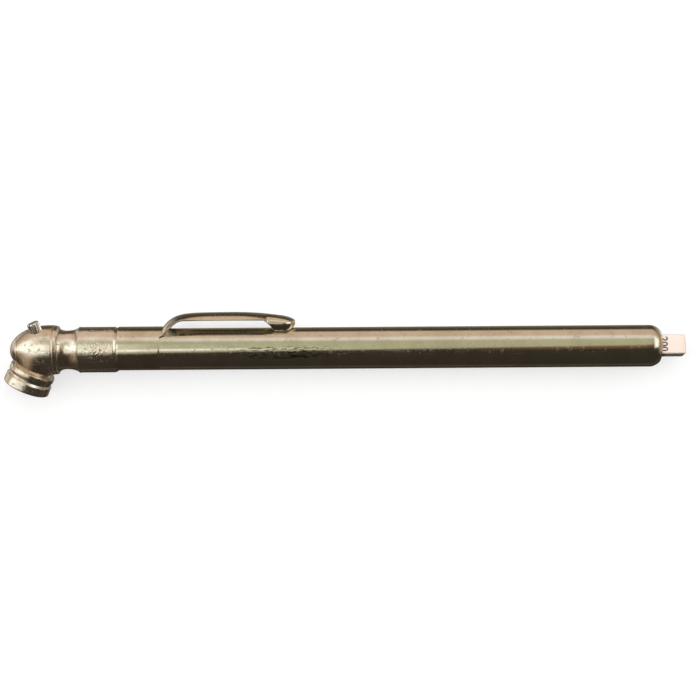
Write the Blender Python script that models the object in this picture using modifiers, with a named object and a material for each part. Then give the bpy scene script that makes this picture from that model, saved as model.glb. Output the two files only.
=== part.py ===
"""A pencil tyre pressure gauge: plated head and tube, pocket clip and sliding square scale bar.

The gauge lies on its side: +X runs along the tube to the bar's tip, +Y is the clip's side and
+Z is up. Every piece hangs on the empty gauge_axis, whose own frame has Z along the tube,
X towards the clip and Y up. Its origin is on the tube's axis where the head's collar ends.
Stations along an axis and radii are in metres.
"""

import math

import bmesh
import bpy
from mathutils import Matrix

MM = 0.001

# Tube
TUBE_RADIUS = 4.7625 * MM  # stock 3/8 inch tube
TUBE_BORE = 4.3 * MM
TUBE_START = -5.5 * MM
TUBE_END = 123.7 * MM
ROLL_LENGTH = 2.2 * MM  # length of the rolled-in end
ROLL_POWER = 1.5  # of the roll's curve: 2 is an ellipse and 1 a cone
LIP_BORE = 3.45 * MM  # opening left by the rolled-in end

# Head: ball, neck and collar are turned about the tube's axis
BALL_RADIUS = 5.68 * MM
BALL_HALF_LENGTH = 9.05 * MM
BALL_CENTRE = -15.3 * MM
SHOULDER = -14.1 * MM  # groove where the ball ends
NECK_RADIUS = 4.4 * MM
NECK_STATION = -11.3 * MM
COLLAR_RADIUS = 5.2 * MM
COLLAR_START = -8.3 * MM
COLLAR_END = 0.3 * MM
SOCKET_FLOOR = -6.5 * MM
PASSAGE_RADIUS = 1.2 * MM

# Chuck: turned about its own axis, which leaves the tube's axis at CROSSING
CROSSING = -17.2 * MM
CHUCK_ANGLE = math.radians(65.4)  # between the chuck's axis and the tube's axis
MOUTH = 9.5 * MM  # station of the chuck's open end
CHUCK_RADIUS = 5.1 * MM
FLANGE_RADIUS = 5.37 * MM
MOUTH_BORE = 4.1 * MM  # takes an 8V1 valve, 7.7 mm across
SEAL_FLOOR = 4.2 * MM
SEAL_FACE = 6.0 * MM
RETAINER_START = 6.2 * MM
RETAINER_END = 6.6 * MM
DEPRESSOR_FLOOR = 3.4 * MM
DEPRESSOR_TOP = 6.3 * MM

# Deflator pin, on the other side of the ball
PIN_STATION = -16.0 * MM
PIN_RISE = 1.2 * MM  # from the tube's axis to the start of the pin's axis
PIN_RADIUS = 1.45 * MM
PIN_TOP = 7.24 * MM
PIN_ROOT = 3.4 * MM
PIN_LEAN = math.radians(111)  # between the pin's axis and the tube's axis
PIN_ROLL = math.radians(8)  # out of the plane of the chuck
PIN_FLUTES = 10

# Pocket clip
CLIP_SHEET = 0.35 * MM
BAND_START = 0.45 * MM
BAND_END = 10.1 * MM
BAND_OPENING = math.radians(40)  # half the gap in the band, on the far side from the arm
ARM_TOP = 8.45 * MM  # above the tube's axis
ARM_END = 40.65 * MM
LOBE_START = 34.5 * MM

# Indicator bar
BAR_SIDE = 4.42 * MM
BAR_TIP = 129.23 * MM
BAR_INNER_END = 15.5 * MM
BAR_BORE = 1.6 * MM
BAR_EDGE = 0.4 * MM
BAR_ROLL = math.radians(-22)  # about the tube's axis
BAR_CLEARANCE = 0.06 * MM  # on each side, in its guide
GUIDE_START = 118.6 * MM
GUIDE_END = 123.85 * MM
BRAKE_STATION = 120.4 * MM

# Piston and spring
PISTON_START = 3.0 * MM
PISTON_END = 13.9 * MM
PISTON_WEB = 9.4 * MM  # where the screw's bore ends
PISTON_WEB_END = 9.9 * MM  # where the rod's bore begins
SCREW_RADIUS = 1.0 * MM
ROD_RADIUS = 1.0 * MM
ROD_END = 66 * MM
SPRING_RADIUS = 3.75 * MM
SPRING_WIRE = 0.3 * MM  # radius
SPRING_START = 8.6 * MM
SPRING_END = 117.4 * MM
SPRING_TURNS = 22
SPRING_POINTS = 10  # in each turn

# Fits and mesh
GAP = 0.1 * MM  # between neighbouring pieces
MERGE = 0.000001
ROUND_STEPS = 32
INNER_STEPS = 20
SHARP_ANGLE = math.radians(32)


# ---- collections, materials and axes ----


def clear_scene():
    for obj in list(bpy.data.objects):
        bpy.data.objects.remove(obj, do_unlink=True)


def new_collection(name):
    collection = bpy.data.collections.new(name)
    bpy.context.scene.collection.children.link(collection)
    return collection


def metal_or_plastic(name, colour, roughness, metallic):
    material = bpy.data.materials.new(name)
    material.use_nodes = True
    shader = material.node_tree.nodes["Principled BSDF"]
    shader.inputs["Base Color"].default_value = (*colour, 1.0)
    shader.inputs["Roughness"].default_value = roughness
    shader.inputs["Metallic"].default_value = metallic
    return material


def new_axis(name, parent=None, location=(0, 0, 0), rotation=(0, 0, 0)):
    """An empty whose Z is the axis that the pieces under it are turned about."""
    empty = bpy.data.objects.new(name, None)
    empty.parent = parent
    empty.location = location
    empty.rotation_euler = rotation
    PARTS.objects.link(empty)
    return empty


def new_object(name, data, parent, material=None):
    """A part when it has a material, otherwise a hidden helper for a Boolean."""
    obj = bpy.data.objects.new(name, data)
    obj.parent = parent
    if material:
        obj.data.materials.append(material)
        PARTS.objects.link(obj)
    else:
        obj.hide_render = True
        obj.display_type = "WIRE"
        CUTTERS.objects.link(obj)
    return obj


# ---- shapes ----


def turned(name, section, parent, material=None, steps=ROUND_STEPS):
    """A solid turned about Z from (station, radius) points that go round half its section."""
    outline = [(radius, station) for station, radius in section]
    following = outline[1:] + outline[:1]
    area = sum(r1 * s2 - r2 * s1 for (r1, s1), (r2, s2) in zip(outline, following))
    if area > 0:
        outline.reverse()
    count = len(outline)
    edges = [(i, i + 1) for i in range(count - 1)]
    reaches_axis = outline[0][0] == 0 and outline[-1][0] == 0
    if not reaches_axis:
        edges.append((count - 1, 0))
    mesh = bpy.data.meshes.new(name)
    mesh.from_pydata([(radius, 0, station) for radius, station in outline], edges, [])
    obj = new_object(name, mesh, parent, material)
    screw = obj.modifiers.new("turn", "SCREW")
    screw.steps = steps
    screw.render_steps = steps
    screw.use_merge_vertices = True
    screw.merge_threshold = MERGE
    return obj


def ring_section(start, end, inner, outer):
    return [(start, inner), (start, outer), (end, outer), (end, inner)]


def rod_section(start, end, radius):
    return [(start, 0), (start, radius), (end, radius), (end, 0)]


def chamfered_rod_section(start, end, radius, chamfer):
    return [
        (start, 0),
        (start, radius - chamfer),
        (start + chamfer, radius),
        (end - chamfer, radius),
        (end, radius - chamfer),
        (end, 0),
    ]


def block(name, size, centre, parent, material=None):
    mesh = bpy.data.meshes.new(name)
    shape = bmesh.new()
    bmesh.ops.create_cube(shape, size=1, matrix=Matrix.Translation(centre) @ Matrix.Diagonal((*size, 1)))
    shape.to_mesh(mesh)
    shape.free()
    return new_object(name, mesh, parent, material)


def sheet(name, rows, thickness, parent, material):
    """A pressed sheet: a grid of points given its thickness on both sides."""
    across = len(rows[0])
    faces = [
        (i * across + j, i * across + j + 1, (i + 1) * across + j + 1, (i + 1) * across + j)
        for i in range(len(rows) - 1)
        for j in range(across - 1)
    ]
    mesh = bpy.data.meshes.new(name)
    mesh.from_pydata([point for row in rows for point in row], [], faces)
    obj = new_object(name, mesh, parent, material)
    solidify = obj.modifiers.new("thickness", "SOLIDIFY")
    solidify.thickness = thickness
    solidify.offset = 0
    return obj


def bend_of_wire(name, points, radius, parent, material, resolution=2):
    """A wire along the points, as one closed mesh."""
    curve = bpy.data.curves.new(name, "CURVE")
    curve.dimensions = "3D"
    curve.bevel_depth = radius
    curve.bevel_resolution = resolution
    curve.use_fill_caps = True
    spline = curve.splines.new("POLY")
    spline.points.add(len(points) - 1)
    for point, place in zip(spline.points, points):
        point.co = (*place, 1)
    guide = bpy.data.objects.new(name + "_guide", curve)
    CUTTERS.objects.link(guide)
    graph = bpy.context.evaluated_depsgraph_get()
    mesh = bpy.data.meshes.new_from_object(guide.evaluated_get(graph))
    bpy.data.objects.remove(guide, do_unlink=True)
    shape = bmesh.new()
    shape.from_mesh(mesh)
    bmesh.ops.remove_doubles(shape, verts=shape.verts, dist=MERGE)
    bmesh.ops.recalc_face_normals(shape, faces=shape.faces)
    shape.to_mesh(mesh)
    shape.free()
    return new_object(name, mesh, parent, material)


def boolean(obj, helper, operation):
    modifier = obj.modifiers.new(helper.name, "BOOLEAN")
    modifier.operation = operation
    modifier.object = helper
    modifier.solver = "EXACT"


def bevel(obj, width, segments=2):
    modifier = obj.modifiers.new("edge", "BEVEL")
    modifier.width = width
    modifier.segments = segments
    modifier.limit_method = "ANGLE"


def settle(obj):
    """Turns the modifiers into mesh and shades it smooth except at real edges."""
    graph = bpy.context.evaluated_depsgraph_get()
    mesh = bpy.data.meshes.new_from_object(obj.evaluated_get(graph))
    obj.modifiers.clear()
    obj.data = mesh
    mesh.shade_smooth()
    mesh.set_sharp_from_angle(angle=SHARP_ANGLE)


def arc(centre, radii, start, end, count):
    """(station, radius) points on an ellipse, with the angle in degrees from the axis."""
    angles = [math.radians(start + (end - start) * i / (count - 1)) for i in range(count)]
    return [
        (centre[0] + radii[0] * math.cos(angle), centre[1] + radii[1] * math.sin(angle))
        for angle in angles
    ]


# ---- head and chuck ----


def head_section():
    """Ball, groove, waisted neck and collar, with the socket that the tube goes into."""
    groove = 0.15 * MM
    shoulder_radius = 5.45 * MM
    neck_left = arc(
        (NECK_STATION, shoulder_radius), (1.95 * MM, shoulder_radius - NECK_RADIUS), 180, 270, 7
    )
    neck_right = arc((NECK_STATION, 5.7 * MM), (3.1 * MM, 5.7 * MM - NECK_RADIUS), 270, 342, 7)
    ball = arc((BALL_CENTRE, 0), (BALL_HALF_LENGTH, BALL_RADIUS), 180, 90, 12)
    ball[0] = (BALL_CENTRE - BALL_HALF_LENGTH, 0)
    return (
        ball
        + [
            (SHOULDER - groove, BALL_RADIUS),
            (SHOULDER, BALL_RADIUS - groove),
            (SHOULDER + groove, BALL_RADIUS - 0.04 * MM),
        ]
        + neck_left
        + neck_right[1:]
        + [
            (COLLAR_START, COLLAR_RADIUS),
            (COLLAR_END - 0.6 * MM, COLLAR_RADIUS),
            (COLLAR_END, COLLAR_RADIUS - 0.3 * MM),
            (COLLAR_END, TUBE_RADIUS + GAP),
            (SOCKET_FLOOR, TUBE_RADIUS + GAP),
            (SOCKET_FLOOR, 0),
        ]
    )


def chuck_section():
    """Bulb that carries on the ball's curve, then shoulder, bead, groove and mouth flange."""
    root_depth = 4.0 * MM
    bulb_radius = 5.6 * MM
    bulb_length = 7.4 * MM
    shoulder = 4.3 * MM
    dome = arc((0, 0), (root_depth, bulb_radius), 180, 90, 8)
    dome[0] = (-root_depth, 0)
    bulb = arc((0, 0), (bulb_length, bulb_radius), 90, math.degrees(math.acos(shoulder / bulb_length)), 6)
    bead = arc((5.75 * MM, CHUCK_RADIUS - 0.05 * MM), (0.75 * MM, 0.2 * MM), 180, 0, 7)
    return dome + bulb[1:] + [(shoulder, CHUCK_RADIUS)] + bead + [
        (6.95 * MM, CHUCK_RADIUS - 0.1 * MM),
        (7.5 * MM, FLANGE_RADIUS - 0.05 * MM),
        (MOUTH - 0.2 * MM, FLANGE_RADIUS),
        (MOUTH, FLANGE_RADIUS - 0.15 * MM),
        (MOUTH, 0),
    ]


def mouth_bore_section():
    """The chuck's bores, from the open mouth down to the air passage."""
    snap_groove = MOUTH_BORE + 0.4 * MM
    pocket = 3.3 * MM
    return [
        (MOUTH + 1 * MM, 0),
        (MOUTH + 1 * MM, MOUTH_BORE),
        (RETAINER_END + GAP, MOUTH_BORE),
        (RETAINER_END + GAP, snap_groove),
        (RETAINER_START - GAP, snap_groove),
        (RETAINER_START - GAP, MOUTH_BORE),
        (SEAL_FLOOR, MOUTH_BORE),
        (SEAL_FLOOR, pocket),
        (DEPRESSOR_FLOOR, pocket),
        (DEPRESSOR_FLOOR, 2.4 * MM),
        (DEPRESSOR_FLOOR - 0.8 * MM, PASSAGE_RADIUS),
        (-0.4 * MM, PASSAGE_RADIUS),
        (-0.4 * MM, 0),
    ]


def add_head():
    head = turned("head", head_section(), GAUGE, PLATED_CASTING)
    boolean(head, turned("chuck_outside", chuck_section(), CHUCK), "UNION")
    boolean(head, turned("mouth_bore", mouth_bore_section(), CHUCK), "DIFFERENCE")
    passage = rod_section(CROSSING, SOCKET_FLOOR + 1 * MM, PASSAGE_RADIUS)
    boolean(head, turned("air_passage", passage, GAUGE, steps=INNER_STEPS), "DIFFERENCE")
    pin_hole = rod_section(PIN_ROOT - GAP, PIN_TOP + 1 * MM, PIN_RADIUS + GAP)
    boolean(head, turned("pin_hole", pin_hole, PIN, steps=INNER_STEPS), "DIFFERENCE")
    settle(head)


def add_seal():
    rounded = 0.25 * MM
    start = SEAL_FLOOR + GAP
    end = SEAL_FACE
    inner = 2.2 * MM
    outer = MOUTH_BORE - GAP
    section = [
        (start, inner),
        (start, outer),
        (end - rounded, outer),
        (end, outer - rounded),
        (end, inner + rounded),
        (end - rounded, inner),
    ]
    settle(turned("chuck_seal", section, CHUCK, BLACK_RUBBER))


def add_seal_retainer():
    """A split ring, sprung into the groove above the seal."""
    inner = MOUTH_BORE - GAP
    outer = MOUTH_BORE + 0.3 * MM
    section = ring_section(RETAINER_START, RETAINER_END, inner, outer)
    ring = turned("seal_retainer", section, CHUCK, BRASS)
    split_size = (2 * MM, 1 * MM, 2 * MM)
    split = block("retainer_split", split_size, (outer, 0, RETAINER_START), CHUCK)
    boolean(ring, split, "DIFFERENCE")
    settle(ring)


def add_valve_depressor():
    """A flanged pin under the seal, with three air holes through its flange."""
    flange = 3.2 * MM
    pin = 0.75 * MM
    start = DEPRESSOR_FLOOR + GAP
    section = [
        (start, 0),
        (start, flange),
        (SEAL_FLOOR - GAP, flange),
        (SEAL_FLOOR - GAP, pin),
        (DEPRESSOR_TOP - 0.3 * MM, pin),
        (DEPRESSOR_TOP, 0.45 * MM),
        (DEPRESSOR_TOP, 0),
    ]
    depressor = turned("valve_depressor", section, CHUCK, BRASS, INNER_STEPS)
    holes = 3
    hole_circle = 1.75 * MM
    hole = rod_section(start - 1 * MM, SEAL_FLOOR + 1 * MM, 0.55 * MM)
    for number in range(holes):
        angle = 2 * math.pi * number / holes
        place = (hole_circle * math.cos(angle), hole_circle * math.sin(angle), 0)
        hole_axis = new_axis(f"air_hole_axis_{number}", CHUCK, place)
        boolean(depressor, turned(f"air_hole_{number}", hole, hole_axis, steps=12), "DIFFERENCE")
    settle(depressor)


def add_deflator_pin():
    """A pin pressed into the ball, fluted where it stands out."""
    section = chamfered_rod_section(PIN_ROOT, PIN_TOP, PIN_RADIUS, 0.3 * MM)
    pin = turned("deflator_pin", section, PIN, PLATED_CASTING)
    flute_circle = 1.05 * PIN_RADIUS
    flute = rod_section(PIN_ROOT + 1 * MM, PIN_TOP + 1 * MM, 0.24 * MM)
    for number in range(PIN_FLUTES):
        angle = 2 * math.pi * number / PIN_FLUTES
        place = (flute_circle * math.cos(angle), flute_circle * math.sin(angle), 0)
        flute_axis = new_axis(f"flute_axis_{number}", PIN, place)
        boolean(pin, turned(f"flute_{number}", flute, flute_axis, steps=8), "DIFFERENCE")
    settle(pin)


def add_head_gasket():
    section = ring_section(SOCKET_FLOOR + GAP, TUBE_START - GAP, 3.0 * MM, TUBE_RADIUS)
    settle(turned("head_gasket", section, GAUGE, BLACK_RUBBER, INNER_STEPS))


# ---- tube, guide and brake ----


def roll(length, depth, count):
    """(station, radius) points along the rolled-in end, from the straight wall to the lip."""
    points = []
    for i in range(count):
        turn = math.pi / 2 * i / (count - 1)
        along = length * math.sin(turn) ** (2 / ROLL_POWER)
        above_lip = depth * max(math.cos(turn), 0) ** (2 / ROLL_POWER)
        points.append((TUBE_END - ROLL_LENGTH + along, LIP_BORE + above_lip))
    return points


def add_barrel():
    """The tube, with its far end rolled in over the bar guide."""
    wall = TUBE_RADIUS - TUBE_BORE
    outside = roll(ROLL_LENGTH, TUBE_RADIUS - LIP_BORE, 9)
    inside = roll(ROLL_LENGTH - wall, TUBE_BORE - LIP_BORE, 6)
    section = [(TUBE_START, TUBE_BORE), (TUBE_START, TUBE_RADIUS)] + outside + inside[::-1]
    settle(turned("barrel", section, GAUGE, PLATED_TUBE))


def square_bar(name, side, edge, start, end, material=None):
    """A bar of square section with rounded edges, on the indicator's axis."""
    bar = block(name, (side, side, end - start), (0, 0, (start + end) / 2), INDICATOR, material)
    bevel(bar, edge)
    return bar


def add_bar_guide():
    """A flanged bushing held by the rolled end, with the bar's square hole and the brake's slot."""
    body = TUBE_BORE - GAP
    nose = LIP_BORE - GAP
    shoulder = TUBE_END - ROLL_LENGTH - GAP
    section = [
        (GUIDE_START, 0),
        (GUIDE_START, body),
        (shoulder, body),
        (shoulder + 0.6 * MM, nose),
        (GUIDE_END - 0.25 * MM, nose),
        (GUIDE_END, nose - 0.25 * MM),
        (GUIDE_END, 0),
    ]
    guide = turned("bar_guide", section, INDICATOR, BRASS)
    beyond = 1.5 * MM
    hole_side = BAR_SIDE + 2 * BAR_CLEARANCE
    hole = square_bar("bar_hole", hole_side, BAR_EDGE, GUIDE_START - beyond, GUIDE_END + beyond)
    boolean(guide, hole, "DIFFERENCE")
    slot_size = (2.2 * MM, 1.4 * MM, 2.6 * MM)
    slot = block("brake_slot", slot_size, (0, -2.4 * MM, BRAKE_STATION), INDICATOR)
    boolean(guide, slot, "DIFFERENCE")
    settle(guide)


def add_bar_brake():
    """A bowed leaf in the guide's slot, which presses on the bar."""
    half_length = 1.2 * MM
    half_width = 1.0 * MM
    bow = 0.35 * MM
    ends_depth = -2.85 * MM  # from the bar's axis
    count = 8
    rows = []
    for i in range(count + 1):
        along = -1 + 2 * i / count
        depth = ends_depth + bow * (1 - along**2)
        station = BRAKE_STATION + half_length * along
        rows.append([(-half_width, depth, station), (half_width, depth, station)])
    settle(sheet("bar_brake", rows, 0.15 * MM, INDICATOR, SPRING_STEEL))


def add_spring_seat():
    end = GUIDE_START - GAP
    section = ring_section(end - 0.6 * MM, end, 3.2 * MM, TUBE_BORE - GAP)
    settle(turned("spring_seat", section, GAUGE, BRASS, INNER_STEPS))


# ---- piston and spring ----


def add_piston():
    body_start = PISTON_START + 3.1 * MM
    cup_floor = PISTON_START + 2.2 * MM
    cup_hole = SCREW_RADIUS + GAP
    lip = 0.5 * MM
    outer = TUBE_BORE - 0.08 * MM
    cup = [
        (body_start - GAP, cup_hole),
        (body_start - GAP, outer - 0.2 * MM),
        (body_start - 0.6 * MM, outer - 0.2 * MM),
        (PISTON_START, outer),
        (PISTON_START, outer - lip),
        (cup_floor, outer - lip - 0.2 * MM),
        (cup_floor, cup_hole),
    ]
    settle(turned("piston_cup", cup, PISTON, CUP_RUBBER))

    washer = ring_section(cup_floor - 0.6 * MM, cup_floor - GAP, cup_hole, 3.1 * MM)
    settle(turned("cup_washer", washer, PISTON, BRASS, INNER_STEPS))

    head_end = cup_floor - 0.7 * MM
    screw = [
        (head_end - 1.1 * MM, 0),
        (head_end - 1.1 * MM, 1.7 * MM),
        (head_end - 0.8 * MM, 2.0 * MM),
        (head_end, 2.0 * MM),
        (head_end, SCREW_RADIUS),
        (PISTON_WEB - 0.2 * MM, SCREW_RADIUS),
        (PISTON_WEB - 0.2 * MM, 0),
    ]
    piston_screw = turned("piston_screw", screw, PISTON, BRASS, INNER_STEPS)
    slot_size = (0.5 * MM, 5 * MM, 1.0 * MM)
    slot = block("driver_slot", slot_size, (0, 0, head_end - 1.1 * MM), PISTON)
    boolean(piston_screw, slot, "DIFFERENCE")
    settle(piston_screw)

    flange = TUBE_BORE - 0.15 * MM
    flange_end = SPRING_START - SPRING_WIRE - GAP
    spigot = SPRING_RADIUS - SPRING_WIRE - 0.45 * MM
    chamfer = 0.3 * MM
    body = [
        (body_start, cup_hole),
        (body_start, flange),
        (flange_end, flange),
        (flange_end, spigot),
        (PISTON_END - chamfer, spigot),
        (PISTON_END, spigot - chamfer),
        (PISTON_END, ROD_RADIUS + GAP),
        (PISTON_WEB_END, ROD_RADIUS + GAP),
        (PISTON_WEB_END, 0),
        (PISTON_WEB, 0),
        (PISTON_WEB, cup_hole),
    ]
    settle(turned_with_web("piston_body", body))
    rod = chamfered_rod_section(PISTON_WEB_END + GAP, ROD_END, ROD_RADIUS, 0.2 * MM)
    settle(turned("piston_rod", rod, PISTON, SPRING_STEEL, 16))


def turned_with_web(name, section):
    """A turned solid whose middle web closes across the axis between its two bores."""
    first_on_axis = next(i for i, point in enumerate(section) if point[1] == 0)
    chain = section[first_on_axis + 1 :] + section[: first_on_axis + 1]
    return turned(name, chain, PISTON, BRASS, INNER_STEPS)


def add_main_spring():
    """A compression coil, closed to a flat turn at each end."""
    points = []
    count = SPRING_TURNS * SPRING_POINTS
    length = SPRING_END - SPRING_START
    dead_turn = 1 / SPRING_TURNS
    for i in range(count + 1):
        along = i / count
        angle = 2 * math.pi * i / SPRING_POINTS
        rise = min(max((along - dead_turn) / (1 - 2 * dead_turn), 0), 1)
        closed = min(along, dead_turn) + max(along - 1 + dead_turn, 0)
        end_pitch = 3 * SPRING_WIRE / dead_turn
        station = SPRING_START + closed * end_pitch + rise * (length - 6 * SPRING_WIRE)
        points.append((SPRING_RADIUS * math.cos(angle), SPRING_RADIUS * math.sin(angle), station))
    spring = bend_of_wire("main_spring", points, SPRING_WIRE, PISTON, SPRING_STEEL)
    settle(spring)


# ---- indicator bar ----


def add_indicator():
    bar = square_bar("indicator_bar", BAR_SIDE, BAR_EDGE, BAR_INNER_END, BAR_TIP, IVORY_NYLON)
    closed_end = 3 * MM
    bore = rod_section(BAR_INNER_END - 1 * MM, BAR_TIP - closed_end, BAR_BORE)
    boolean(bar, turned("bar_bore", bore, INDICATOR, steps=INNER_STEPS), "DIFFERENCE")
    settle(bar)

    flange_start = PISTON_END + 2 * GAP
    flange_end = BAR_INNER_END - GAP
    flange = 3.1 * MM
    hub_end = flange_end + 4 * MM
    hub = BAR_BORE - GAP
    hole = ROD_RADIUS + 0.15 * MM
    foot = [
        (flange_start, hole),
        (flange_start, flange),
        (flange_end, flange),
        (flange_end, hub),
        (hub_end, hub),
        (hub_end, hole),
    ]
    settle(turned("bar_foot", foot, INDICATOR, BRASS, INNER_STEPS))


# ---- pocket clip ----


def add_clip_band():
    """A C-shaped band round the tube, open on the side away from the arm."""
    middle = TUBE_RADIUS + GAP + CLIP_SHEET / 2
    reach = math.pi - BAND_OPENING
    count = 28
    rows = []
    for i in range(count + 1):
        angle = -reach + 2 * reach * i / count
        place = (middle * math.cos(angle), middle * math.sin(angle))
        rows.append([(*place, BAND_END), (*place, BAND_START)])
    settle(sheet("clip_band", rows, CLIP_SHEET, CLIP, PLATED_SHEET))


def arm_crown(station):
    """Height of the arm's middle line over the tube's axis: a quick rise, then a slow fall."""
    root = TUBE_RADIUS + GAP + CLIP_SHEET / 2
    top = ARM_TOP - CLIP_SHEET / 2
    rise_start = BAND_END + 0.7 * MM
    rise_length = 2.2 * MM
    fall_start = 26.5 * MM
    fall_per_metre = 6.8
    if station < rise_start:
        return root
    height = top - (top - root) * math.exp(-(station - rise_start) / rise_length)
    return height - fall_per_metre * max(station - fall_start, 0) ** 2


def smooth_step(value, start, end):
    part = min(max((value - start) / (end - start), 0), 1)
    return part * part * (3 - 2 * part)


def arch_depth(station):
    """From the root's depth to one that keeps the arm's side edges straight."""
    root_depth = 1.3 * MM
    edge_height = 7.14 * MM
    share = smooth_step(station, 12.2 * MM, 15.5 * MM)
    return root_depth + (arm_crown(station) - edge_height - root_depth) * share


def arch_of(half_width, depth):
    """Radius and half-angle of the arc with this half-width and depth."""
    radius = (half_width**2 + depth**2) / (2 * depth)
    return radius, math.asin(half_width / radius)


def arm_section(station, count):
    """Points across the arm: a shallow arch that deepens into a rounded lobe at the end."""
    crown = arm_crown(station)
    arch_half = 3.4 * MM - 0.45 * MM * smooth_step(station, BAND_END, 20 * MM)
    arch_radius, arch_angle = arch_of(arch_half, arch_depth(station))
    lobe_half = 2.55 * MM
    lobe_middle = 6.15 * MM
    lobe_depth = 2.9 * MM
    lobe_reach = 90 + 34 * smooth_step(station, LOBE_START, LOBE_START + 1.9 * MM)
    nose_start = 37.9 * MM
    nose = max(station - nose_start, 0) / (ARM_END - nose_start)
    shrink = math.sqrt(max(1 - nose**2, 0.03))
    lobe_share = smooth_step(station, LOBE_START - 0.9 * MM, LOBE_START + 0.3 * MM)
    points = []
    for i in range(count + 1):
        across = -1 + 2 * i / count
        turn = arch_angle * across
        arch = (crown - arch_radius * (1 - math.cos(turn)), arch_radius * math.sin(turn))
        turn = math.radians(lobe_reach) * across
        depth = (crown - lobe_middle) if math.cos(turn) > 0 else lobe_depth
        lobe = (
            lobe_middle + shrink * depth * math.cos(turn),
            lobe_half * shrink * math.sin(turn),
        )
        height, side = [a + (b - a) * lobe_share for a, b in zip(arch, lobe)]
        points.append((height, side, station))
    return points


def add_clip_arm():
    """The sprung arm, from the band's edge to the lobe that grips a pocket."""
    start = BAND_END + 1.5 * GAP
    root_steps = [start + 0.55 * MM * i for i in range(12)]
    middle_steps = [17.5 * MM + 2.6 * MM * i for i in range(7)]
    lobe_steps = [LOBE_START - 0.4 * MM + 0.45 * MM * i for i in range(13)]
    nose_steps = [ARM_END - 0.75 * MM, ARM_END - 0.4 * MM, ARM_END - 0.15 * MM, ARM_END]
    stations = root_steps + middle_steps + lobe_steps + nose_steps
    rows = [arm_section(station, 8) for station in stations]
    arm = sheet("clip_arm", [row[::-1] for row in rows], CLIP_SHEET, CLIP, PLATED_SHEET)
    settle(arm)


# ---- the whole gauge ----

clear_scene()
PARTS = new_collection("tire_pressure_gauge")
CUTTERS = new_collection("cutters")

PLATED_CASTING = metal_or_plastic("plated_casting", (0.62, 0.54, 0.42), 0.22, 1.0)
PLATED_TUBE = metal_or_plastic("plated_tube", (0.66, 0.61, 0.50), 0.14, 1.0)
PLATED_SHEET = metal_or_plastic("plated_sheet", (0.66, 0.60, 0.48), 0.16, 1.0)
BRASS = metal_or_plastic("brass", (0.72, 0.52, 0.24), 0.3, 1.0)
SPRING_STEEL = metal_or_plastic("spring_steel", (0.45, 0.45, 0.46), 0.3, 1.0)
BLACK_RUBBER = metal_or_plastic("black_rubber", (0.02, 0.02, 0.02), 0.8, 0.0)
CUP_RUBBER = metal_or_plastic("cup_rubber", (0.05, 0.04, 0.035), 0.7, 0.0)
IVORY_NYLON = metal_or_plastic("ivory_nylon", (0.85, 0.76, 0.68), 0.45, 0.0)

# How far the gauge reaches from gauge_axis, which puts the middle of its box over the origin
chuck_out = (math.cos(CHUCK_ANGLE), math.sin(CHUCK_ANGLE))
left_end = CROSSING - MOUTH * chuck_out[0] - FLANGE_RADIUS * chuck_out[1]
lowest = -MOUTH * chuck_out[1] - FLANGE_RADIUS * chuck_out[0]
GAUGE = new_axis(
    "gauge_axis",
    location=(-(left_end + BAR_TIP) / 2, -(lowest + ARM_TOP) / 2, BALL_RADIUS),
    rotation=(math.pi / 2, 0, math.pi / 2),
)
CHUCK = new_axis("chuck_axis", GAUGE, (0, 0, CROSSING), (0, CHUCK_ANGLE - math.pi, 0))
PIN = new_axis("pin_axis", GAUGE, (0, PIN_RISE, PIN_STATION), (0, PIN_LEAN, PIN_ROLL))
CLIP = new_axis("clip_axis", GAUGE)
PISTON = new_axis("piston_axis", GAUGE)
INDICATOR = new_axis("indicator_axis", GAUGE, rotation=(0, 0, BAR_ROLL))

bpy.context.view_layer.update()
add_head()
add_seal()
add_seal_retainer()
add_valve_depressor()
add_deflator_pin()
add_head_gasket()
add_barrel()
add_bar_guide()
add_bar_brake()
add_spring_seat()
add_piston()
add_main_spring()
add_indicator()
add_clip_band()
add_clip_arm()
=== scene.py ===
import math

import bmesh
import bpy
from mathutils import Euler, Matrix, Vector, noise
from mathutils.bvhtree import BVHTree


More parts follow.
